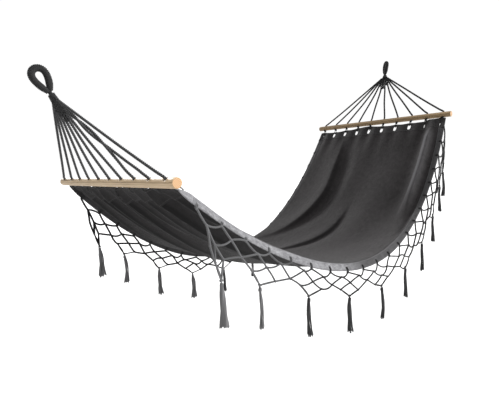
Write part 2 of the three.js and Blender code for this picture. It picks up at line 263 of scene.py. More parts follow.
def add_rope(parts, path, diameter, pitch, step, strands=3, sides=6, phase=0.0):
    """A twisted cord: strands wound round the path."""
    p = resample(path, step)
    fr = frames(p)
    strand_r = diameter / 2 * (0.5 if strands == 2 else 0.53)
    off_r = diameter / 2 - strand_r
    for s in range(strands):
        a = phase + distances(p) / pitch * 2 * math.pi + s * 2 * math.pi / strands
        add_tube(parts, p, strand_r, sides, off=np.stack([np.cos(a) * off_r, np.sin(a) * off_r], 1), fr=fr)


def add_coil(parts, path, core_r, wire_r, pitch, per_turn=14, squash=1.0):
    """One cord served tightly round a core that follows path."""
    p = np.asarray(path, float)
    turns = distances(p)[-1] / pitch
    p = resample(p, count=int(turns * per_turn) + 2)
    _, n, b = frames(p)
    core_r = np.atleast_1d(core_r)
    r = np.interp(np.linspace(0, 1, len(p)), np.linspace(0, 1, len(core_r)), core_r)
    a = np.linspace(0, turns * 2 * math.pi, len(p))
    add_tube(parts, p + (np.cos(a) * r)[:, None] * n + (np.sin(a) * r * squash)[:, None] * b, wire_r)


# ---------------------------------------------------------------- materials
class Value:
    """A number or colour inside a node tree. Arithmetic on it adds Math nodes."""

    def __init__(self, nt, socket):
        self.nt, self.socket = nt, socket

    def math(self, operation, other=None, clamp=False):
        n = self.nt.nodes.new("ShaderNodeMath")
        n.operation, n.use_clamp = operation, clamp
        feed(self.nt, n.inputs[0], self)
        if other is not None:
            feed(self.nt, n.inputs[1], other)
        return Value(self.nt, n.outputs[0])

    def __add__(self, other):
        return self.math("ADD", other)

    def __sub__(self, other):
        return self.math("SUBTRACT", other)

    def __mul__(self, other):
        return self.math("MULTIPLY", other)

    def __abs__(self):
        return self.math("ABSOLUTE")


def feed(nt, socket, x):
    """Links a Value to a socket, or sets a constant on it."""
    if isinstance(x, Value):
        nt.links.new(x.socket, socket)
    elif socket.type == "RGBA":
        socket.default_value = (*x, 1.0)
    else:
        socket.default_value = x


def node(nt, kind, inputs, out=0):
    n = nt.nodes.new("ShaderNode" + kind)
    for key, x in inputs.items():
        feed(nt, n.inputs[key], x)
    return Value(nt, n.outputs[out])


def ease(x, lo, hi, to_lo=0.0, to_hi=1.0):
    """A smooth step from to_lo where x is lo, to to_hi where x is hi."""
    n = x.nt.nodes.new("ShaderNodeMapRange")
    n.interpolation_type = "SMOOTHSTEP"
    for key, number in (("Value", x), ("From Min", lo), ("From Max", hi), ("To Min", to_lo), ("To Max", to_hi)):
        feed(x.nt, n.inputs[key], number)
    return Value(x.nt, n.outputs[0])


def ramp(x, *stops):
    n = x.nt.nodes.new("ShaderNodeValToRGB")
    marks = n.color_ramp.elements
    marks.remove(marks[0])
    for k, (position, colour) in enumerate(stops):
        mark = marks.new(position) if k else marks[0]
        mark.position, mark.color = position, (*colour, 1.0)
    feed(x.nt, n.inputs[0], x)
    return Value(x.nt, n.outputs[0])


def noise(vector, scale, detail=3.0, rough=0.6):
    return node(vector.nt, "TexNoise", {"Vector": vector, "Scale": scale, "Detail": detail, "Roughness": rough})


def mapped(vector, scale, shift=(0, 0, 0)):
    return node(vector.nt, "Mapping", {"Vector": vector, "Scale": scale, "Location": shift})


def streaks(vector, scale, detail, rough, shift=(0, 0, 0)):
    """Noise stretched by its own scale along each axis."""
    return noise(mapped(vector, scale, shift), 1.0, detail, rough)


def wave(x, period):
    return (x * (2 * math.pi / period)).math("SINE")


def split(vector):
    n = vector.nt.nodes.new("ShaderNodeSeparateXYZ")
    feed(vector.nt, n.inputs[0], vector)
    return [Value(vector.nt, out) for out in n.outputs]


def mix(amount, a, b):
    n = amount.nt.nodes.new("ShaderNodeMix")
    n.data_type = "RGBA"
    for key, x in ((0, amount), (6, a), (7, b)):
        feed(amount.nt, n.inputs[key], x)
    return Value(amount.nt, n.outputs[2])


def bump(height, strength, distance):
    return node(height.nt, "Bump", {"Height": height, "Strength": strength, "Distance": distance})


def new_material(name):
    m = bpy.data.materials.new(name)
    m.use_nodes = True
    return m, m.node_tree


def finish(m, **inputs):
    """Feeds the material's Principled shader; an underscore stands for a space."""
    for key, x in inputs.items():
        feed(m.node_tree, m.node_tree.nodes["Principled BSDF"].inputs[key.replace("_", " ")], x)
    return m


def canvas_material(name, dark, light, stitches=(), across=False, pale=None, painted_fold_light=None):
    """Plain woven cotton: warp and weft threads, slubs, faded and lint-flecked, with optional painted sheen and painted
    light and shade along the folds. uv is in metres, u along.
    """
    m, nt = new_material(name)
    source = nt.nodes.new("ShaderNodeUVMap")
    source.uv_map = "UVMap"
    uv = Value(nt, source.outputs[0])
    u, v, _ = split(uv)
    weave = wave(v, 0.0017) * wave(u, 0.0019)
    slub_u = streaks(uv, (28, 900, 1), 3.0, 0.7)
    slub_v = streaks(uv, (900, 24, 1), 3.0, 0.7, (3, 7, 0))
    cloud = noise(uv, 5.0, 4.0)
    fade = streaks(uv, (34, 52, 1), 4.0, 0.7, (1, 5, 0))
    lint = noise(uv, 420.0, 2.0, 0.7)
    tone = slub_u * 0.35 + slub_v * 0.35 + cloud * 0.3 + weave * 0.06 + (fade - 0.5) * 0.5 + (lint - 0.5) * 0.3
    colour = ramp(tone, (0.3, dark), (0.7, light))
    if pale:
        # painted sheen: paler over part of its length, where light catches it
        axis, lo, hi, painted_sheen_dark, painted_sheen_light = pale
        patchy = tone + (streaks(uv, (60, 130, 1), 4.0, 0.7) - 0.5) * 0.7
        colour = mix(ease(v if axis == "v" else u, lo, hi), colour,
                     ramp(patchy, (0.25, painted_sheen_dark), (0.75, painted_sheen_light)))
    if painted_fold_light:
        # painted highlight along the crests of the folds, painted shade down in the creases and over the head half
        at = nt.nodes.new("ShaderNodeAttribute")
        at.attribute_name = "painted_fold_light_amount"
        painted_fold_light_amount = Value(nt, at.outputs["Fac"])
        colour = mix(painted_fold_light_amount.math("MULTIPLY", cloud * 0.8 + 0.5, clamp=True), colour, painted_fold_light[1])
        colour = mix(painted_fold_light_amount.math("MULTIPLY", -1.0, clamp=True), colour, painted_fold_light[0])
    height = weave * 0.5 + slub_u * 0.8 + slub_v * 0.8
    if stitches:
        # two rows of running stitch, each thread proud and each gap sunk
        seam, run = (u, v) if across else (v, u)
        one, two = [abs(seam - at).math("LESS_THAN", 0.0008) for at in stitches]
        line = one.math("MAXIMUM", two)
        thread = line * (run * (1 / 0.0042)).math("FRACT").math("LESS_THAN", 0.68)
        colour = mix(thread, colour, tuple(min(1, c * 1.6) for c in light))
        height = height + thread * 2.0 - (line - thread) * 1.5
    return finish(m, Base_Color=colour, Normal=bump(height, 0.6, 0.0004), Roughness=0.92,
                  Specular_IOR_Level=0.2, Sheen_Weight=0.04, Sheen_Roughness=0.5)


def cord_material(name, dark, light, worn=None):
    """Spun cotton cord: fibre streaks, fuzz, paler on the strands' crowns and darker in the grooves between them. Worn
    cords grey towards the head end.
    """
    m, nt = new_material(name)
    place = node(nt, "TexCoord", {}, "Object")
    fine, coarse = noise(place, 900.0, 3.0, 0.7), noise(place, 60.0)
    crown = (node(nt, "NewGeometry", {}, "Pointiness") - 0.5) * 3.0
    tone = fine * 0.6 + coarse * 0.4 + crown
    colour = ramp(tone, (0.3, dark), (0.72, light))
    if worn:
        lo, hi, worn_dark, worn_light = worn
        colour = mix(ease(split(place)[0], lo, hi), colour, ramp(tone, (0.3, worn_dark), (0.72, worn_light)))
    return finish(m, Base_Color=colour, Normal=bump(fine, 0.5, 0.0006), Roughness=0.88,
                  Specular_IOR_Level=0.3, Sheen_Weight=0.04, Sheen_Roughness=0.5)


def wood_material(name, end, pale, mid, deep):
    """Turned softwood dowel: long grain, growth lines, pores, rings on the sawn ends."""
    m, nt = new_material(name)
    # the tree's heart lies a little outside the dowel's middle
    c = metres(end.bar) + (0.016, 0, -0.021)
    place = mapped(node(nt, "TexCoord", {}, "Object"), (1, 1, 1), (-c[0], 0, -c[2]))
    x, y, z = split(place)
    wobble = streaks(place, (30, 3.0, 30), 3.0, 0.5)
    growth = (x * x + z * z).math("SQRT") * (2 * math.pi / 0.0042) + wobble * 9.0 + y * 5.0
    ring = abs((growth * 0.5).math("SINE")).math("POWER", 2.2)
    fibre = streaks(place, (700, 14, 700), 4.0, 0.7)
    patch = streaks(place, (20, 5, 20), 3.0, 0.6)
    colour = ramp(ring * 0.36 + fibre * 0.42 + patch * 0.34, (0.28, pale), (0.55, mid), (0.85, deep))
    # the sawn ends are warmer
    facing = split(node(nt, "NewGeometry", {}, "Normal"))[1]
    sawn = ramp(ring, (0.0, (0.5, 0.32, 0.18)), (1.0, (0.34, 0.2, 0.1)))
    colour = mix(abs(facing).math("GREATER_THAN", 0.9), colour, sawn)
    return finish(m, Base_Color=colour, Normal=bump(fibre, 0.25, 0.0004), Roughness=fibre * 0.25 + 0.36,
                  Specular_IOR_Level=0.2)


# colours of the painted sheen on the right-hand hems
PAINTED_SHEEN = ((0.05, 0.05, 0.053), (0.27, 0.268, 0.279))
SIDE_SEAMS, END_SEAMS = (0.003, 0.027), (0.004, 0.053)
# the canvas carries painted highlight along its fold crests and painted shade in its creases
M_CANVAS = canvas_material("canvas", (0.0086, 0.0077, 0.0079), (0.0325, 0.0293, 0.0305),
                           painted_fold_light=((0.004, 0.0037, 0.0039), (0.135, 0.133, 0.142)))
M_HEM_SIDE = {
    "left": canvas_material("hem_left", (0.017, 0.0166, 0.017), (0.046, 0.0445, 0.046), SIDE_SEAMS),
    # the right hem is painted lighter than the left, and paler still from the head to mid-length: painted sheen
    "right": canvas_material("hem_right", (0.026, 0.0254, 0.026), (0.068, 0.0665, 0.069), SIDE_SEAMS,
                             pale=("u", 0.9, 0.7, *PAINTED_SHEEN)),
}
M_HEM_END = {
    # the head hem's right-hand end is painted paler: painted sheen
    "head": canvas_material("hem_head", (0.0075, 0.0071, 0.0073), (0.023, 0.0215, 0.0221), END_SEAMS, True,
                            pale=("v", -0.366, -0.374, *PAINTED_SHEEN)),
    "foot": canvas_material("hem_foot", (0.0118, 0.0113, 0.0116), (0.034, 0.0325, 0.0332), END_SEAMS, True),
}
M_CORD = {
    "head": cord_material("suspension_cord_head", (0.006, 0.006, 0.0062), (0.034, 0.034, 0.035)),
    "foot": cord_material("suspension_cord_foot", (0.0012, 0.0012, 0.0013), (0.007, 0.0069, 0.0071)),
}
M_SERVED = cord_material("served_rope", (0.001, 0.001, 0.0011), (0.014, 0.014, 0.0145))
M_WEAVE = cord_material("woven_cord", (0.0022, 0.0022, 0.0023), (0.015, 0.015, 0.0155))
M_FRINGE = {
    1: cord_material("fringe_cord_left", (0.003, 0.003, 0.0031), (0.014, 0.0138, 0.0144)),
    -1: cord_material("fringe_cord_right", (0.0025, 0.0025, 0.0026), (0.011, 0.0108, 0.0112),
                      worn=(0.75, 0.4, (0.022, 0.022, 0.0227), (0.1, 0.1, 0.103))),
}
M_TASSEL = cord_material("tassel_cord", (0.007, 0.007, 0.0073), (0.034, 0.034, 0.0352))
M_TASSEL_WORN = cord_material("tassel_cord_worn", (0.03, 0.03, 0.031), (0.125, 0.124, 0.127))
M_WOOD = {
    "head": wood_material("wood_head", ENDS["head"], (0.48, 0.36, 0.228), (0.36, 0.265, 0.16), (0.18, 0.12, 0.064)),
    # the foot dowel is the same wood as the head dowel, painted darker: painted shade
    "foot": wood_material("wood_foot", ENDS["foot"], (0.31, 0.222, 0.125), (0.21, 0.143, 0.077), (0.1, 0.064, 0.031)),
}


# ---------------------------------------------------------------- the cloth's hanging shape
def dip(u):
    """Height of the cloth's middle line, a Bezier curve from the head bar to the foot bar."""
    n = len(DIP) - 1
    return sum(math.comb(n, k) * z * u**k * (1 - u) ** (n - k) for k, z in enumerate(DIP))


def cloth_point(u, v):
    """The cloth's smooth shape: u runs from bar to bar, v from -1 at the right edge to 1 at the left."""
    u = np.asarray(u, float)
    v = np.asarray(v, float)
    bow = 4 * u * (1 - u)
    half = END_HALF + (MID_HALF - END_HALF) * bow
    height = dip(u) - SAG * bow * (1 - v * v) - LEAN * bow * v
    return np.stack(np.broadcast_arrays(-A + 2 * A * u, half * v, height), -1)


def find_u(start, step, target):
    """Where the cloth's edge lies, EDGE_GAP from the bar."""
    u = start
    while np.linalg.norm(cloth_point(u, 0.0) - target) < EDGE_GAP:
        u += step
    return u


U0 = find_u(0.0, 1e-4, ENDS["head"].bar)
U1 = find_u(1.0, -1e-4, ENDS["foot"].bar)
_us = np.linspace(U0, U1, 1201)
ARC = distances(cloth_point(_us, 0 * _us))
CLOTH = ARC[-1]


def u_at(s):
    """u for a distance s along the middle line, also a little past either end."""
    s = np.asarray(s, float)
    inside = np.interp(s, ARC, _us)
    lo = U0 + s / ARC[1] * (_us[1] - _us[0])
    hi = U1 + (s - CLOTH) / (ARC[-1] - ARC[-2]) * (_us[-1] - _us[-2])
    return np.where(s < 0, lo, np.where(s > CLOTH, hi, inside))


def half_at(s):
    u = u_at(s)
    return END_HALF + (MID_HALF - END_HALF) * 4 * u * (1 - u)


def cloth_frame(s, v):
    """A point of the smooth cloth, with its directions along, across and up."""
    u = u_at(s)
    p = cloth_point(u, v)
    ts = cloth_point(u + 1e-4, v) - cloth_point(u - 1e-4, v)
    ts /= np.linalg.norm(ts, axis=-1, keepdims=True)
    ty = cloth_point(u, v + 1e-3) - cloth_point(u, np.asarray(v) - 1e-3)
    ty /= np.linalg.norm(ty, axis=-1, keepdims=True)
    return p, ts, ty, np.cross(ts, ty)


def smoothstep(x, a, b):
    t = np.clip((x - a) / (b - a), 0, 1)
    return t * t * (3 - 2 * t)


def from_end(end, d):
    """The distance along the cloth that lies d mm in from one of its ends."""
    return d if end == "head" else CLOTH - d


def hole_v(end, i, d):
    """v of buttonhole i, d mm in from the end."""
    return hole_y(i) * GATHER / float(half_at(from_end(end, d)))


def bell(x, wide_neg, wide_pos):
    return np.exp(-((x / np.where(x < 0, wide_neg, wide_pos)) ** 2))


def stretch(d, start, full, fade, gone):
    return smoothstep(d, start, full) * (1 - smoothstep(d, fade, gone))


# creases that run down from the head bar, between the loops: where across (mm), how deep, how far they reach
HEAD_FOLDS = ((-352, 9, 420), (-300, 6, 260), (-238, 15, 620), (-150, 8, 420), (-92, 6, 260), (-38, 14, 700),
              (32, 7, 320), (92, 13, 640), (168, 9, 480), (214, 6, 260), (268, 12, 560), (332, 9, 420), (372, 5, 240))


def crease(x, steep, gentle, power=1.0):
    """A fold's cross-section: peak 1 at x = 0, falling away over 'steep' mm for x < 0 and 'gentle' mm for x > 0."""
    w = np.where(x < 0, steep, gentle)
    return np.exp(-((np.abs(x) / w) ** power))


def fold_lines(d):
    """How far across the two long folds lie, d mm from the foot end."""
    return (172 - 0.10 * d + 0.00105 * np.maximum(0, d - 400) ** 2,
            -22 - 0.04 * d + 0.0022 * np.maximum(0, d - 700) ** 2)


def crease_y(k, y0, s):
    """The wandering line of head crease k."""
    return y0 * (1 + s / 5200.0) + 7 * np.sin(s / 170.0 + k * 1.9)


def folds(s, v):
    """Height of the cloth's lengthwise folds over its smooth shape, in mm."""
    s, v = np.broadcast_arrays(s, v)
    half = half_at(s)
    y = v * half
    yy = y * END_HALF / half
    out = np.zeros(s.shape)
    # head end: creases that fan out a little and die away
    for k, (y0, deep, reach) in enumerate(HEAD_FOLDS):
        yc = crease_y(k, y0, s)
        w = 13 + s / 34.0
        out -= deep * 2.1 * crease(yy - yc, w * 1.5, w * 0.42, 1.3) * stretch(s, -60, 60, reach * 0.45, reach * 1.25)
    out += 7.0 * stretch(s, -60, 90, 200, 800)
    # foot end: short gathers under each loop
    d = CLOTH - s
    near = np.exp(-((np.maximum(d, 0.0) / 120.0) ** 1.5)) * smoothstep(d, -40, 30)
    amp = 5.0 + 1.8 * np.sin(yy / 57.0 + 1.1)
    out += near * amp * np.cos(yy / PITCH_Y * 2 * math.pi)
    # the two long folds that start between the left-hand loops and sweep across towards the left edge
    ya, yb = fold_lines(d)
    out += 25 * crease(y - ya - 42, 20, 84, 1.5) * stretch(d, -10, 330, 560, 980)
    out -= 14 * crease(y - ya, 60, 26, 1.6) * stretch(d, 60, 330, 560, 900)
    out += 9 * crease(y - 50 + 0.01 * d, 90, 42, 1.6) * stretch(d, -20, 180, 380, 620)
    out += 10 * crease(y - yb - 18, 10, 84, 1.5) * stretch(d, 540, 740, 900, 1120)
    out -= 10 * crease(y - yb, 50, 26, 1.6) * stretch(d, 480, 700, 850, 1040)
    # broad slack middle
    out += 9 * bell(y + 150, 80, 90) * stretch(d, 60, 400, 700, 1000)
    out -= 18 * bell(y + 300 + 0.045 * d, 18, 60) * stretch(d, 0, 160, 480, 760)
    # the upstanding ridge just inside the near edge and the hollow beyond it
    yc = -345 - 0.05 * d
    out += 38 * crease(y - yc, 16, 40, 1.7) * stretch(d, 10, 150, 480, 720)
    yd = -372 - 0.05 * d
    out -= 12 * crease(y - yd, 18, 14, 1.7) * stretch(d, 40, 200, 740, 940)
    # low, uneven slackness everywhere
    out += 2.4 * np.sin(s / 260.0 + y / 120.0) * np.sin(y / 140.0 + 0.8) + 1.3 * np.sin(s / 97.0 + 2.1 + y / 61.0)
    return out


def painted_fold_light(s, v):
    """How much painted highlight (up to 1) or painted shade (down to -1) lies on the cloth along the sharp fold lines.
    """
    s, v = np.broadcast_arrays(s, v)
    y = v * half_at(s)
    yy = y * END_HALF / half_at(s)
    out = np.zeros(s.shape)
    # painted highlight on one side of each head crease, painted shade on the other
    for k, (y0, deep, reach) in enumerate(HEAD_FOLDS):
        yc = crease_y(k, y0, s)
        along = stretch(s, 20, 90, reach * 0.7, reach * 1.35)
        out += deep / 12.0 * (bell(yy - yc - 6, 4.5, 6.0) - 0.9 * bell(yy - yc + 7, 6.0, 8.0)) * along
    d = CLOTH - s
    # painted highlight along the ridge just inside the near edge
    out += 0.5 * bell(y + 333 + 0.05 * d, 15, 20) * stretch(d, 40, 150, 420, 640)
    # painted shade down in the two long folds of the foot half
    ya, yb = fold_lines(d)
    out -= 0.55 * bell(y - ya - 29, 9, 13) * stretch(d, 60, 300, 600, 980)
    out -= 0.7 * bell(y - yb - 11, 5, 10) * stretch(d, 560, 760, 920, 1120)
    # painted shade over the head half
    out -= 0.52 * stretch(s, -20, -10, 760, 1000)
    return np.clip(out, -1, 1)


# the side edge turns down over this width, by this much, and its root is lifted by this share of the drop
DROOP_W, TURN, ROOT_LIFT = 40.0, math.radians(62), 0.7


def droop(e):
    """Where the edge strip goes as it turns down: how far in and how far down, for a distance e in from the edge."""
    k = np.linspace(DROOP_W, 0, 80)
    ang = TURN * smoothstep(DROOP_W - k, 0, DROOP_W * 0.55)
    step = k[0] - k[1]
    out = np.concatenate([[0], np.cumsum(np.cos(ang[1:]) * step)])
    down = np.concatenate([[0], np.cumsum(np.sin(ang[1:]) * step)])
    kk = DROOP_W - k
    x = DROOP_W - np.clip(e, 0, DROOP_W)
    return np.interp(x, kk, out), np.interp(x, kk, down), out[-1], down[-1]


def surface(s, v):
    """The dressed cloth: smooth shape, folds, and side edges that turn down under the fringe's weight."""
    s, v = np.broadcast_arrays(np.asarray(s, float), np.asarray(v, float))
    p, ts, ty, up = cloth_frame(s, v)
    half = half_at(s)
    e = (1 - np.abs(v)) * half
    calm = smoothstep(e, 0, 60)
    h = folds(s, v) * (0.25 + 0.75 * calm)
    k_end = smoothstep(s, -25, 45) * (1 - 0.85 * smoothstep(s, 1040, 1420)) * smoothstep(CLOTH - s, 20, 150)
    out, down, out_all, down_all = droop(e)
    inside = e >= DROOP_W
    spread = np.exp(-(((e - DROOP_W) / 90.0) ** 2))
    # lift the strip's root so that its lower edge stays on the hammock's side line
    lift = np.where(inside, ROOT_LIFT * down_all * spread, ROOT_LIFT * down_all - down)
    side = np.where(inside, 0.0, (out - (DROOP_W - e)))
    gain = np.where(inside, spread, 1.0) * (DROOP_W - out_all)
    return p + up * (h + lift * k_end)[..., None] + ty * (np.sign(v) * (side + gain) * k_end)[..., None]


# ---------------------------------------------------------------- suspension cords
LOOP_CORD = 4.2
CAUGHT = (7, 8)  # two head cords that are caught together for most of their way


def rank(i):
    """0 for the middle cords, 1 for the outermost."""
    return (abs(hole_y(i)) - NEAREST_Y) / SPREAD_Y


def fan_root(e, i):
    """Where a cord's line starts, just under the eye."""
    return e.neck - e.out * FAN_TOP + vec(0, math.copysign(1.0 + 6.5 * rank(i), hole_y(i)), 0)


def bar_mouth(e, i):
    """Just over the hole where the cord goes into the bar."""
    return e.bar + vec(0, hole_y(i), 0) + e.bore * (BAR_R + 3)


def woven_to(i):
    """How far below the neck the cord leaves the clew."""
    return CLEW_DEEP - CLEW_TAPER * rank(i)


def on_fan(e, i, d):
    """The point on the cord's straight line from the clew to the bar that is d mm below the neck."""
    root, mouth = fan_root(e, i), bar_mouth(e, i)
    return root + (mouth - root) * ((d - FAN_TOP) / float(-(mouth - e.neck) @ e.out - FAN_TOP))


for end, e in ENDS.items():
    _, ts, _, _ = cloth_frame(np.array(from_end(end, 2.0)), np.array(0.0))
    e.bore = unit(e.out - (ts if end == "head" else -ts))
    loops = Parts()
    for i in range(CORDS):
        hole = e.bar + vec(0, hole_y(i), 0)
        mouth, under = bar_mouth(e, i), hole - e.bore * (BAR_R + 1)
        leaves = on_fan(e, i, woven_to(i))
        start = leaves - unit(mouth - leaves) * 3
        edge = surface(from_end(end, -4.0), hole_v(end, i, -4))
        line = [start]
        for t in np.linspace(0.06, 1, 17):
            sag = vec(0, 1.5 * math.sin(2 * math.pi * t + i), -3.0 * math.sin(math.pi * t))
            q = start + (mouth - start) * t + sag * (t < 1)
            if end == "head" and i in CAUGHT:
                j = sum(CAUGHT) - i
                other = on_fan(e, j, woven_to(j))
                both = (q + other + (bar_mouth(e, j) - other) * t) / 2
                turn = t * 9.0 + (math.pi if i == CAUGHT[1] else 0)
                both = both + (e.across * math.cos(turn) + vec(0, 0.8, 0.3) * math.sin(turn)) * CORD_D * 0.52
                q = q + (both - q) * stretch(t, 0.02, 0.22, 0.6, 0.9)
            line.append(q)
        line += [hole, under, under + (edge - under) * 0.75]
        line = resample(smooth_path(line, 4), 9.0)
        p = Parts()
        add_rope(p, line, CORD_D + CORD_EXTRA[end], pitch=20.0, step=2.8, phase=i)
        name = "%s_cord_%02d" % (end, i + 1)
        p.piece(name + "_rope", M_CORD[end], "bed", [name])
        # the bight that passes through the buttonhole and back
        d0, d1 = -5.0, HOLE_FROM_EDGE - HOLE_H / 2 + 4
        a = surface(from_end(end, d0), hole_v(end, i, d0))
        b = surface(from_end(end, d1), hole_v(end, i, d1))
        _, _, ty, up = cloth_frame(np.array(from_end(end, d0)), np.array(hole_v(end, i, d0)))
        bight = [a + (b - a) * (0.5 - 0.5 * math.cos(f)) + up * math.sin(f) * 6.6 + ty * 1.2 * math.sin(2 * f)
                 for f in ring_angles(30)]
        add_rope(loops, bight + bight[:1], LOOP_CORD, pitch=12, step=1.8, strands=2)
        # a turn that closes the loop over the hem's edge
        add_tube(loops, [a + up * math.cos(f) * 4.6 + ty * math.sin(f) * 4.6 + unit(a - b) * (f * 0.55 - 1)
                         for f in np.linspace(0, 4 * math.pi, 34)], 1.5)
    loops.piece(end + "_hem_loops", M_CORD[end], "bed")


# ---------------------------------------------------------------- eyes, necks and clews
EYE_ROOT, EYE_ROOT_HALF, STRAIGHT = 9.5, 4, 0.6
NECK_HEIGHTS = [-5.6, -4.5, -3, 0, 3, 12]
NECK_RADII = [1.2, 3.6, 5.0, 5.8, 5.2, 5.0]


def eye_side(e, sign):
    """One leg of the eye, from its root in the neck to the middle of its tip."""
    t = np.linspace(0, 1, 41)
    low = t < STRAIGHT
    bend = (t - STRAIGHT) / (1 - STRAIGHT) * math.pi / 2
    shoulder = EYE_TIP - EYE_HALF
    along = np.where(low, EYE_ROOT + t / STRAIGHT * (shoulder - EYE_ROOT), shoulder + EYE_HALF * np.sin(bend))
    widen = np.sin(np.clip(t / STRAIGHT, 0, 1) * math.pi / 2) ** 1.15
    side = np.where(low, EYE_ROOT_HALF + (EYE_HALF - EYE_ROOT_HALF) * widen, EYE_HALF * np.cos(bend))
    return e.neck + along[:, None] * e.eye_out + (sign * side)[:, None] * e.eye_across


def slim(line):
    """The eye's two legs grow thinner where they run down into the neck."""
    run = distances(line)
    return np.interp(np.minimum(run, run[-1] - run), [0, 7, 20], [0.6, 0.78, 1.0])


for end, e in ENDS.items():
    loop = np.vstack([eye_side(e, 1), eye_side(e, -1)[::-1][1:]])
    loop = resample(smooth_path(resample(loop, 6.0), 3), 1.5)
    core = resample(loop, 4.0)
    p = Parts()
    add_tube(p, core, (EYE_R - 2.2) * slim(core), 12)
    add_coil(p, loop, (EYE_R - 1.3) * slim(loop), 2.0, 3.7, per_turn=16)
    # the neck below them ends in a ball at the swing's pivot, so it turns inside the whipping
    height = np.linspace(NECK_HEIGHTS[0], NECK_HEIGHTS[-1], 40)
    stem = e.neck + e.eye_out * height[:, None]
    stem_r = np.interp(height, NECK_HEIGHTS, NECK_RADII)
    add_tube(p, stem, stem_r, 12)
    add_coil(p, stem, stem_r, 1.4, 2.7, per_turn=16)
    p.piece(end + "_eye_rope", M_SERVED, "hanging_eyes", [end + "_eye"])

    # whipping: turns round the neck, tighter at the top, with a core only below the ball
    axis = e.neck + e.out * 2 - e.out * np.linspace(0, 17, 40)[:, None]
    p = Parts()
    add_tube(p, axis[25:-2], np.linspace(8.8, 9.6, 13), 12)
    add_coil(p, axis, np.interp(np.linspace(0, 1, 40), [0, 0.75, 1.0], [9.7, 10.6, 11.6]), 1.8, 3.4,
             per_turn=18, squash=0.92)
    p.piece(end + "_whipping_cord", M_SERVED, "bed", [end + "_neck_whipping"])

    # clew: ten cords fan out from the neck, and a plaiting cord goes over and under them row by row
    p = Parts()
    order = sorted(range(CORDS), key=hole_y)
    for k, i in enumerate(order):
        path = []
        for d in np.linspace(4, woven_to(i) + 5, max(6, int(woven_to(i) / 3))):
            fading = stretch(d, 10, 16, woven_to(i) - 6, woven_to(i))
            weaving = math.sin((d - 12) / 5.6 * math.pi + k * math.pi) * 1.4 * fading
            squeeze = 1 - 0.45 * (1 - smoothstep(d, 4, 16))
            w = on_fan(e, i, max(d, FAN_TOP))
            path.append(vec(w[0], w[1] * squeeze, w[2]) - e.out * min(0.0, d - FAN_TOP) + e.across * weaving)
        add_rope(p, smooth_path(path, 3), 5.6, pitch=15, step=1.8, phase=k)
    weft, flip = [], 1
    for r, d in enumerate(np.arange(13, 84, 5.0)):
        row = [(float(on_fan(e, i, d)[1]), k) for k, i in enumerate(order) if woven_to(i) > d - 1.0][::flip]
        if len(row) < 2:
            break
        weft.append(e.neck - e.out * (d - 1.6) + vec(0, row[0][0] - flip * 4.6, 0))
        for y, k in row:
            over = 1 if (k + r) % 2 == 0 else -1
            weft.append(e.neck - e.out * d + vec(0, y, 0) + e.across * 3.6 * over)
        weft.append(e.neck - e.out * (d + 1.6) + vec(0, row[-1][0] + flip * 4.6, 0))
        flip = -flip
    for shift in (-1.5, 1.5):
        add_tube(p, smooth_path(np.array(weft) - e.out * shift, 5), 1.6)
    # two lashing turns where the clew closes
    for d in (10.5, 13.5):
        add_tube(p, [e.neck - e.out * d + vec(0, math.cos(f) * 12.2, 0) + e.across * math.sin(f) * 9.4
                     for f in ring_angles(28)], 1.8, closed=True)
    p.piece(end + "_clew_plait", M_WEAVE, "bed", [end + "_clew_weave"])

# ---------------------------------------------------------------- spreader bars
BAR_SIDES, FLAT_END = 40, 0.9
for end, e in ENDS.items():
    inset = np.array([0.0, 0.5, 1.6])
    ys = np.concatenate([inset - HALF_BAR, np.linspace(12 - HALF_BAR, HALF_BAR - 12, 60), (HALF_BAR - inset)[::-1]])
    rs = np.full(len(ys), BAR_R)
    rs[[0, -1]] = BAR_R - 1.4
    rs[[1, -2]] = BAR_R - 0.45
    th = ring_angles(BAR_SIDES)
    ring = np.stack(np.broadcast_arrays(
        e.bar[0] + rs[:, None] * np.cos(th), ys[:, None], e.bar[2] + rs[:, None] * np.sin(th)), -1)
    p = Parts()
    p.add(ring, [f[:, ::-1] for f in [grid_faces(len(ys), BAR_SIDES), *end_caps(len(ys), BAR_SIDES)]])
    bar = p.piece(end + "_bar_dowel", M_WOOD[end], "bed", [end + "_spreader_bar"])
    # drilled and countersunk
    cutters = Parts()
    for i in range(CORDS):
        hole = e.bar + vec(0, hole_y(i), 0)
        add_tube(cutters, [hole + e.bore * d for d in (-22, -12.2, -10.8, 10.8, 12.2, 22)],
                 DRILL_R + np.array([1.6, 0.9, 0, 0, 0.9, 1.6]), 20)
    cut = add_object("cut", cutters.mesh("cut"))
    mod = bar.modifiers.new("drill", "BOOLEAN")
    mod.operation = "DIFFERENCE"
    mod.solver = "EXACT"
    mod.use_self = True
    mod.object = cut
    drilled = bpy.data.meshes.new_from_object(bar.evaluated_get(bpy.context.evaluated_depsgraph_get()))
    bar.modifiers.clear()
    bar.data = drilled
    bpy.data.objects.remove(cut)
    for poly in bar.data.polygons:
        poly.use_smooth = abs(poly.normal.y) < FLAT_END


# ---------------------------------------------------------------- cloth and hems
def thicken(o, t):
    mod = o.modifiers.new("cloth", "SOLIDIFY")
    mod.thickness = t / 1000.0
    mod.offset = 0.0
    return o


def hump(y, at, width):
    return np.exp(-(((y - at) / width) ** 2))


p = Parts()
s = np.linspace(END_HEM - 6, CLOTH - END_HEM + 6, 330)[:, None]
cols = 236
V = np.linspace(-1, 1, cols)[None, :] * (half_at(s) - (SIDE_HEM - 5)) / half_at(s)
S = np.repeat(s, cols, 1)
add_grid(p, surface(S, V), S, V * half_at(S))
canvas = p.piece("canvas_cloth", M_CANVAS, "bed", ["canvas_bed"])
# this attribute holds the canvas's painted highlight and painted shade
canvas.data.attributes.new("painted_fold_light_amount", "FLOAT", "POINT").data.foreach_set("value", painted_fold_light(S, V).ravel().astype(np.float32))
thicken(canvas, CANVAS_T)

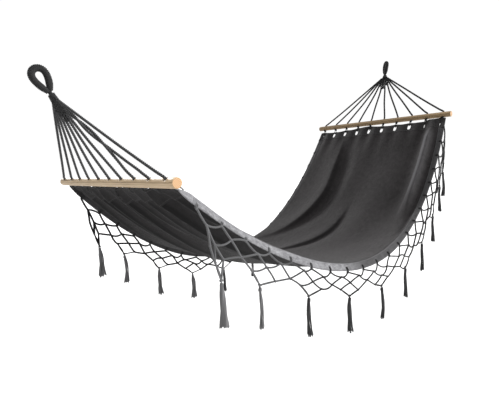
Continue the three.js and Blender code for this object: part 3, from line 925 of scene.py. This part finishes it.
for side, sign in (("left", 1), ("right", -1)):
    p = Parts()
    s = np.linspace(END_HEM - 2, CLOTH - END_HEM + 2, 620)[:, None]
    e_in = np.linspace(0, SIDE_HEM, 14)[None, :]
    P = surface(s, sign * (1 - e_in / half_at(s)))
    # the stitching puckers the hem
    ripple = 0.7 * np.sin(s / 9.0 + 3 * np.sin(s / 55.0)) * hump(e_in, 11, 9)
    normal = np.cross(np.gradient(P, axis=0), np.gradient(P, axis=1))
    normal /= np.linalg.norm(normal, axis=-1, keepdims=True)
    add_grid(p, P + normal * ripple[..., None], s, e_in)
    o = thicken(p.piece(side + "_side_hem_cloth", M_HEM_SIDE[side], "bed", [side + "_side_hem"]), HEM_T)
    mod = o.modifiers.new("round", "BEVEL")
    mod.width = 0.0009
    mod.segments = 2
    mod.limit_method = "ANGLE"

OPEN_HOLE, PULLED_SHUT, FOOT_SHUT = 1.5, -4.5, -5.6  # how much wider or narrower than HOLE_W on each side
SHUT_AT_FOOT, ROUNDING = (0, 8, 9), 2.4
for end in ENDS:
    p = Parts()
    cols = 560
    d = np.repeat(np.linspace(0, END_HEM, 40)[:, None], cols, 1)
    half = half_at(from_end(end, d))
    y = np.linspace(-1, 1, cols)[None, :] * half
    yc, dc = y.copy(), d.copy()
    gone = np.zeros((d.shape[0] - 1, cols - 1), bool)
    ends = slice(None, -1), slice(1, None)
    corners = [(rows, columns) for rows in ends for columns in ends]
    for i in range(CORDS):
        y0 = hole_v(end, i, HOLE_FROM_EDGE) * float(half_at(from_end(end, HOLE_FROM_EDGE)))
        wider = PULLED_SHUT if end == "head" else FOOT_SHUT if i in SHUT_AT_FOOT else OPEN_HOLE
        fy, fd = (y - y0) / (HOLE_W / 2 + wider), (d - HOLE_FROM_EDGE) / (HOLE_H / 2 + 1.5)
        r = (np.abs(fy) ** ROUNDING + np.abs(fd) ** ROUNDING) ** (1 / ROUNDING)
        inside = r < 1
        cell = np.logical_and.reduce([inside[c] for c in corners])
        gone |= cell
        # a vertex of the grid that is just inside the hole goes out to its rim
        touch = np.zeros_like(inside)
        for c in corners:
            touch[c] |= ~cell
        rim = inside & touch & (r > 0.3)
        yc[rim] = y0 + (y[rim] - y0) / r[rim]
        dc[rim] = HOLE_FROM_EDGE + (d[rim] - HOLE_FROM_EDGE) / r[rim]
    # the free edge hangs away from the bar between the loops
    if end == "head":
        gap, scallop = -8.0 + 27.0 * hump(yc, -338, 28) + 3.0 * hump(yc, 330, 30), 1.2
    else:
        gap = 3.0 - 11.5 * hump(yc, 60, 70) - 12.5 * smoothstep(-yc, 285, 320) + 5.0 * hump(yc, 290, 60)
        scallop = 7.0
    hang = dc + ((0.5 + 0.5 * np.cos(yc / PITCH_Y * 2 * math.pi)) * scallop + gap) * np.exp(-dc / 14.0)
    quads = grid_faces(*d.shape, False)[~gone.ravel()]
    add_grid(p, surface(from_end(end, hang), yc / half), dc, yc, quads if end == "head" else quads[:, ::-1])
    thicken(p.piece(end + "_end_hem_cloth", M_HEM_END[end], "bed", [end + "_end_hem"]), HEM_T)


# ---------------------------------------------------------------- fringe nets
# how full each tassel is, counted from the head bar
FULLNESS = {-1: (1.15, 0.72, 1.2, 1.5, 1.1, 1.15, 1.3, 1.1, 1.1, 1.1),
            1: (1.5, 1.2, 1.75, 1.85, 1.2, 1.1, 1.1, 1.1, 1.1, 1.1)}
NET_CORD = {1: 9.6, -1: 6.6}
FOOT_END_FROM, FOOT_END_EXTRA = 250, 1.2  # the right net's cord is a little thicker from here on
TIGHT_UNTIL = -100  # and its cords are tighter up to here
ROW_DROP, KNOT_DROP, TASSEL_ROW = 32, 120, 4
# a lark's head round the side hem: distance in from its edge, and height over or under the cloth
LARK = ((-2.0, 0.0), (3.0, 3.0), (8.0, 3.2), (12.0, 2.8), (15.5, 0.2), (12.0, -2.8), (8.0, -3.2), (3.0, -3.0))


def hang_net(sign):
    """Lets the net hang flat beside the cloth: its knots, and which are tied to which."""
    cols = 2 * TASSELS
    first, last, uneven = NET_ENDS[sign]
    at = [first + (CLOTH - first - last) * k / cols + uneven * math.sin(math.pi * k / cols) ** 2
          for k in range(cols + 1)]
    top = [cloth_point(float(u_at(q)), float(sign)) for q in at]
    rows = [[[q[0], q[2] - 3, 0.0] for q in top]]
    for r in (1, 2, 3):
        if r % 2:
            rows.append([[(top[k][0] + top[k + 1][0]) / 2, (top[k][2] + top[k + 1][2]) / 2 - ROW_DROP * r, 1.0]
                         for k in range(cols)])
        else:
            rows.append([[q[0], q[2] - ROW_DROP * r, 1.0] for q in top])
    rows.append([[top[2 * k + 1][0], top[2 * k + 1][2] - KNOT_DROP, 0.15] for k in range(TASSELS)])
    links = []
    for k in range(cols):
        links += [((0, k), (1, k)), ((0, k + 1), (1, k)), ((1, k), (2, k)), ((1, k), (2, k + 1)),
                  ((2, k), (3, k)), ((2, k + 1), (3, k))]
    for k in range(TASSELS):
        links += [((3, 2 * k), (4, k)), ((3, 2 * k + 1), (4, k))]
    flat = {(r, k): q for r, row in enumerate(rows) for k, q in enumerate(row)}
    pairs = [(flat[a], flat[b]) for a, b in links]
    moving = [q for q in flat.values() if q[2]]
    for step in range(900):
        if step % 3 == 0:
            for q in moving:
                q[1] -= 0.75
        for a, b in pairs:
            dx, dz = b[0] - a[0], b[1] - a[1]
            d = math.hypot(dx, dz)
            w = a[2] + b[2]
            if d <= NET_STRAND or w == 0:
                continue
            f = (d - NET_STRAND) / d / w
            a[0] += dx * f * a[2]
            a[1] += dz * f * a[2]
            b[0] -= dx * f * b[2]
            b[1] -= dz * f * b[2]
    return at, flat, links


def stand_out(x, z, sign):
    """How far out from the middle line the net hangs."""
    u = (x + A) / (2 * A)
    edge = cloth_point(u, float(sign))
    drop = max(0.0, edge[2] - z)
    belly = NET_BELLY * math.sin(math.pi * min(1.0, max(0.0, u)))
    return abs(edge[1]) + NET_R + 0.35 + belly * min(1.0, drop / 40) - NET_TUCK * max(0.0, drop - 40)


def add_knot(parts, c, size, cord_r, seed):
    """An overhand knot, as a tight trefoil, turned at random."""
    rnd = random.Random(seed)
    t = ring_angles(25)
    x = np.sin(t) + 2 * np.sin(2 * t)
    y = np.cos(t) - 2 * np.cos(2 * t)
    k = size / 3.4
    turn = rnd.uniform(0, 2 * math.pi)
    X = (x * math.cos(turn) - y * math.sin(turn)) * k
    Y = (x * math.sin(turn) + y * math.cos(turn)) * k
    tilt = rnd.uniform(-0.4, 0.4)
    add_tube(parts, np.stack([X, -np.sin(3 * t) * k * 1.2 + X * tilt * 0.3, Y * 0.92], 1) + c, cord_r, closed=True)


def sagged(a, b, length, drift):
    """A cord of the given length between two points. Its slack hangs down."""
    d = np.linalg.norm(b - a)
    t = np.linspace(0, 1, 9)
    p = a + (b - a) * t[:, None]
    slack = max(0.0, length - d)
    sag = min(math.sqrt(slack * d * 3 / 8), 0.5 * length)
    level = math.hypot(*(b - a)[:2]) / (d + 1e-9)
    p[:, 2] -= 4 * t * (1 - t) * sag * max(0.35, level)
    p[:, 1] += 4 * t * (1 - t) * drift
    return p


def add_net_cord(parts, a, b, sign, to_tassel, rnd):
    """Stiff cord from knot to knot: it bows a little either way rather than hanging slack."""
    span = float(np.linalg.norm(b - a))
    tight = sign < 0 and a[0] < TIGHT_UNTIL
    length = min(NET_STRAND + rnd.uniform(0, 0.9), span * (1.03 if tight else 1.13))
    path = sagged(a, b, length, sign * rnd.uniform(-2, 3))
    if rnd.random() < 0.3:
        chord = a + (b - a) * np.linspace(0, 1, len(path))[:, None]
        path[:, 2] += (chord[:, 2] - path[:, 2]) * 1.6
    if to_tassel:
        bow = np.sin(np.linspace(0, math.pi, len(path)))
        for w in (-1.7, 1.7):
            q = path + np.stack([bow * w * 1.6, bow * w, 0 * bow], 1)
            add_rope(parts, smooth_path(q, 2), 5.6, pitch=12, step=2.2, sides=5, phase=rnd.random() * 6)
    else:
        extra = FOOT_END_EXTRA if sign < 0 and a[0] > FOOT_END_FROM else 0.0
        add_rope(parts, smooth_path(path, 2), NET_CORD[sign] + extra, pitch=15, step=2.4, sides=5,
                 phase=rnd.random() * 6)


def add_larks_head(parts, s, sign, reach):
    """Two turns of cord round the side hem at s. reach says how far in they go."""
    half = half_at(s)
    profile = []
    for e_in, lift in LARK:
        e_in = e_in * (reach if e_in > 0 else 1.0)
        ee = max(e_in, 0.0)
        q = surface(s, sign * (1 - ee / half))
        inward = surface(s, sign * (1 - (ee + 1.0) / half)) - q
        normal = unit(np.cross(surface(s + 1.0, sign * (1 - ee / half)) - q, inward)) * (-1 if sign < 0 else 1)
        profile.append(q + normal * lift - unit(inward) * (ee - e_in))
    along = unit(surface(s + 1.0, float(sign)) - surface(s, float(sign)))
    for w in (-2.4, 2.4):
        ring = smooth_path(np.array(profile + profile[:1]) + along * w, 3)
        ring[0] = ring[-1] = (ring[0] + ring[-1]) / 2
        add_tube(parts, ring, 1.75)


def add_tassel(parts, c, full, flare_fixed, fullness, rnd):
    """Loops of two-strand cord that hang from a knot at c, wrapped at the top."""
    flare = flare_fixed or rnd.uniform(1.0, 1.4)
    length = TASSEL_LENGTH - 3
    bend = rnd.uniform(-5, 5), rnd.uniform(-4, 4)
    count = 18 if full else 12
    for j in range(count):
        angles = [(j + 0.5 * w) / count * 2 * math.pi + rnd.uniform(-0.2, 0.2) for w in (0, 1)]
        out = math.sqrt((j + 0.6) / count)
        z = np.linspace(2, length * rnd.uniform(0.93, 1.0), 13)
        t = z / length
        spread = np.interp(t, [0, 0.05, 0.13, 0.2, 0.6, 0.92, 1.0],
                           [2.4, 4.4, 3.6, 5.6 if full else 4.6, 4.8 * flare, 7.2 * flare, 8.0 * flare])
        spread = spread * np.interp(t, [0.13, 0.2], [min(fullness, 1.1), fullness])
        legs = []
        for a in angles:
            x = np.cos(a) * out * spread + bend[0] * np.sin(t * math.pi) + 1.1 * np.sin(t * 9 + a * 3)
            y = np.sin(a) * out * spread * 0.9 + bend[1] * np.sin(t * math.pi) + 1.1 * np.cos(t * 8 + a * 2)
            legs.append(np.stack([c[0] + x, c[1] + y, c[2] - 4 - z], 1))
        turn = (legs[0][-1] + legs[1][-1]) / 2 - vec(0, 0, 3.2)
        whole = np.vstack([legs[0], turn[None], legs[1][::-1]])
        add_rope(parts, smooth_path(whole, 2), 4.6 if full else 4.2 * fullness**0.5, pitch=9, step=2.6,
                 strands=2, sides=5, phase=rnd.random() * 6)
    add_coil(parts, [c - vec(0, 0, 9 + q) for q in np.linspace(0, 9, 8)], 4.4, 1.4, 2.8)


for side, sign in (("left", 1), ("right", -1)):
    at, flat, links = hang_net(sign)
    rnd = random.Random(11 + sign)
    place = {k: vec(q[0], sign * stand_out(q[0], q[1], sign), q[1]) for k, q in flat.items()}
    for k in place:
        if k[0] == 0:
            # the top cords leave from under the hem's turned-down edge
            place[k] = surface(at[k[1]], float(sign)) - vec(0, 0, 4.5)
        elif k[0] != TASSEL_ROW:
            place[k] = place[k] + vec(rnd.uniform(-5, 5), rnd.uniform(-2.5, 2.5), rnd.uniform(-5, 5))
    p = Parts()
    for a, b in links:
        add_net_cord(p, place[a], place[b], sign, b[0] == TASSEL_ROW, rnd)
    for (r, k), c in place.items():
        if r == TASSEL_ROW:
            add_knot(p, c, 5.4, 2.0, r * 31 + k + sign * 500)
            add_tube(p, [c + vec(0, 0, z) for z in (4.5, 2, -1, -3.5)], [2.2, 3.4, 3.4, 2.2], 8)
        elif r:
            add_knot(p, c, 3.9, 1.6, r * 31 + k + sign * 500)
    for k, s in enumerate(at):
        # the first few on the right are sewn through close to the edge; the rest go further in
        add_larks_head(p, s, sign, 0.4 if sign < 0 and k < 3 else 1.0)
        add_knot(p, place[(0, k)], 4.6, 1.8, 900 + k)
    p.piece("fringe_net_%s_cords" % side, M_FRINGE[sign], "bed", ["fringe_net_" + side])

    worn = 2 if sign < 0 else 4
    for k in range(TASSELS):
        full = k == 0 and sign < 0
        p = Parts()
        add_tassel(p, place[(TASSEL_ROW, k)], full, 1.7 if full else 1.45 if k == 0 else None, FULLNESS[sign][k],
                   random.Random(100 * k + 5 + sign))
        name = "tassel_%s_%02d" % (side, k + 1)
        p.piece(name + "_strands", M_TASSEL_WORN if k < worn else M_TASSEL, name, [name])

# ---------------------------------------------------------------- floor and light
FLOOR_BELOW, FLOOR_HALF = 0.42, 40
floor_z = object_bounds()[0][2] - FLOOR_BELOW
mesh = bpy.data.meshes.new("floor")
mesh.from_pydata([(x * FLOOR_HALF, y * FLOOR_HALF, floor_z) for x, y in ((-1, -1), (1, -1), (1, 1), (-1, 1))], [],
                 [(0, 1, 2, 3)])
mesh.materials.append(finish(new_material("floor")[0], Base_Color=(0.66, 0.66, 0.66), Roughness=0.9))
add_object("floor", mesh)

# soft light from all round: stronger from the foot end's side and from overhead
world = bpy.data.worlds.new("world")
bpy.context.scene.world = world
world.use_nodes = True
sky = split(node(world.node_tree, "TexCoord", {}, "Generated"))
background = world.node_tree.nodes["Background"].inputs
feed(world.node_tree, background[0], (1, 1, 1))
feed(world.node_tree, background[1],
     ease(sky[0], -0.6, 0.15, 0.62, 1.03).math("MAXIMUM", ease(sky[2], 0.55, 1.0, 0.0, 1.5)))

for name, energy, angle, way in (("key", 5.0, 0.5, (-0.66, 0.6, -0.42)), ("fill", 2.9, 0.3, (-0.12, -0.86, -0.5))):
    sun = bpy.data.lights.new(name, "SUN")
    sun.energy = energy
    sun.angle = angle
    add_object(name, sun).matrix_world = Vector(way).to_track_quat("-Z", "Y").to_matrix().to_4x4()
bpy.context.scene.view_settings.view_transform = "Standard"
